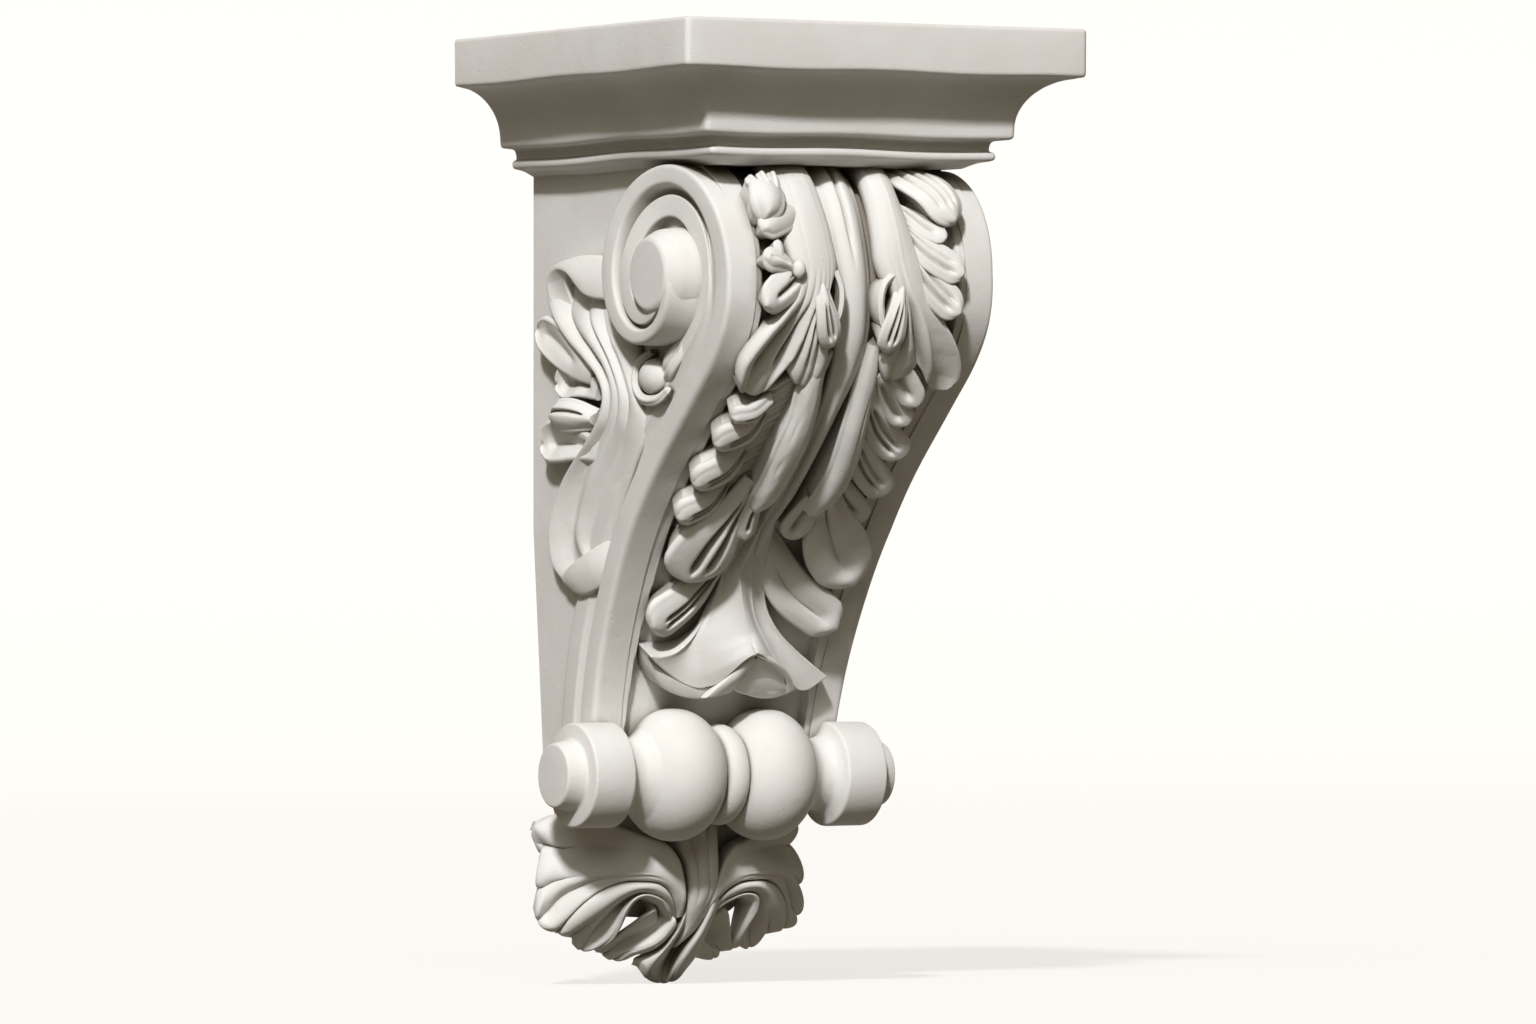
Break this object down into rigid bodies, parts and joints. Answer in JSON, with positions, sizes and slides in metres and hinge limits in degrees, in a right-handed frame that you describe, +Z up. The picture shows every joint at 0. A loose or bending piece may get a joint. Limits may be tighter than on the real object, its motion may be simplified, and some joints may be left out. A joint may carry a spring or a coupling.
{
  "type": "corbel",
  "caption": "Plaster scroll corbel with a moulded cap, side volutes, acanthus leaves, a turned bolster and a leaf pendant.",
  "frame": {"origin": "on the flat wall face at the back, on the centre line, level with the middle of the corbel's height", "axes": "+X along the wall to the right as seen from the front, +Y into the wall, +Z up"},
  "size_m": [0.171, 0.177, 0.3565],
  "materials": {
    "plaster": "matte"
  },
  "bodies": {
    "root": {"corbel": "plaster"}
  },
  "joints": []
}
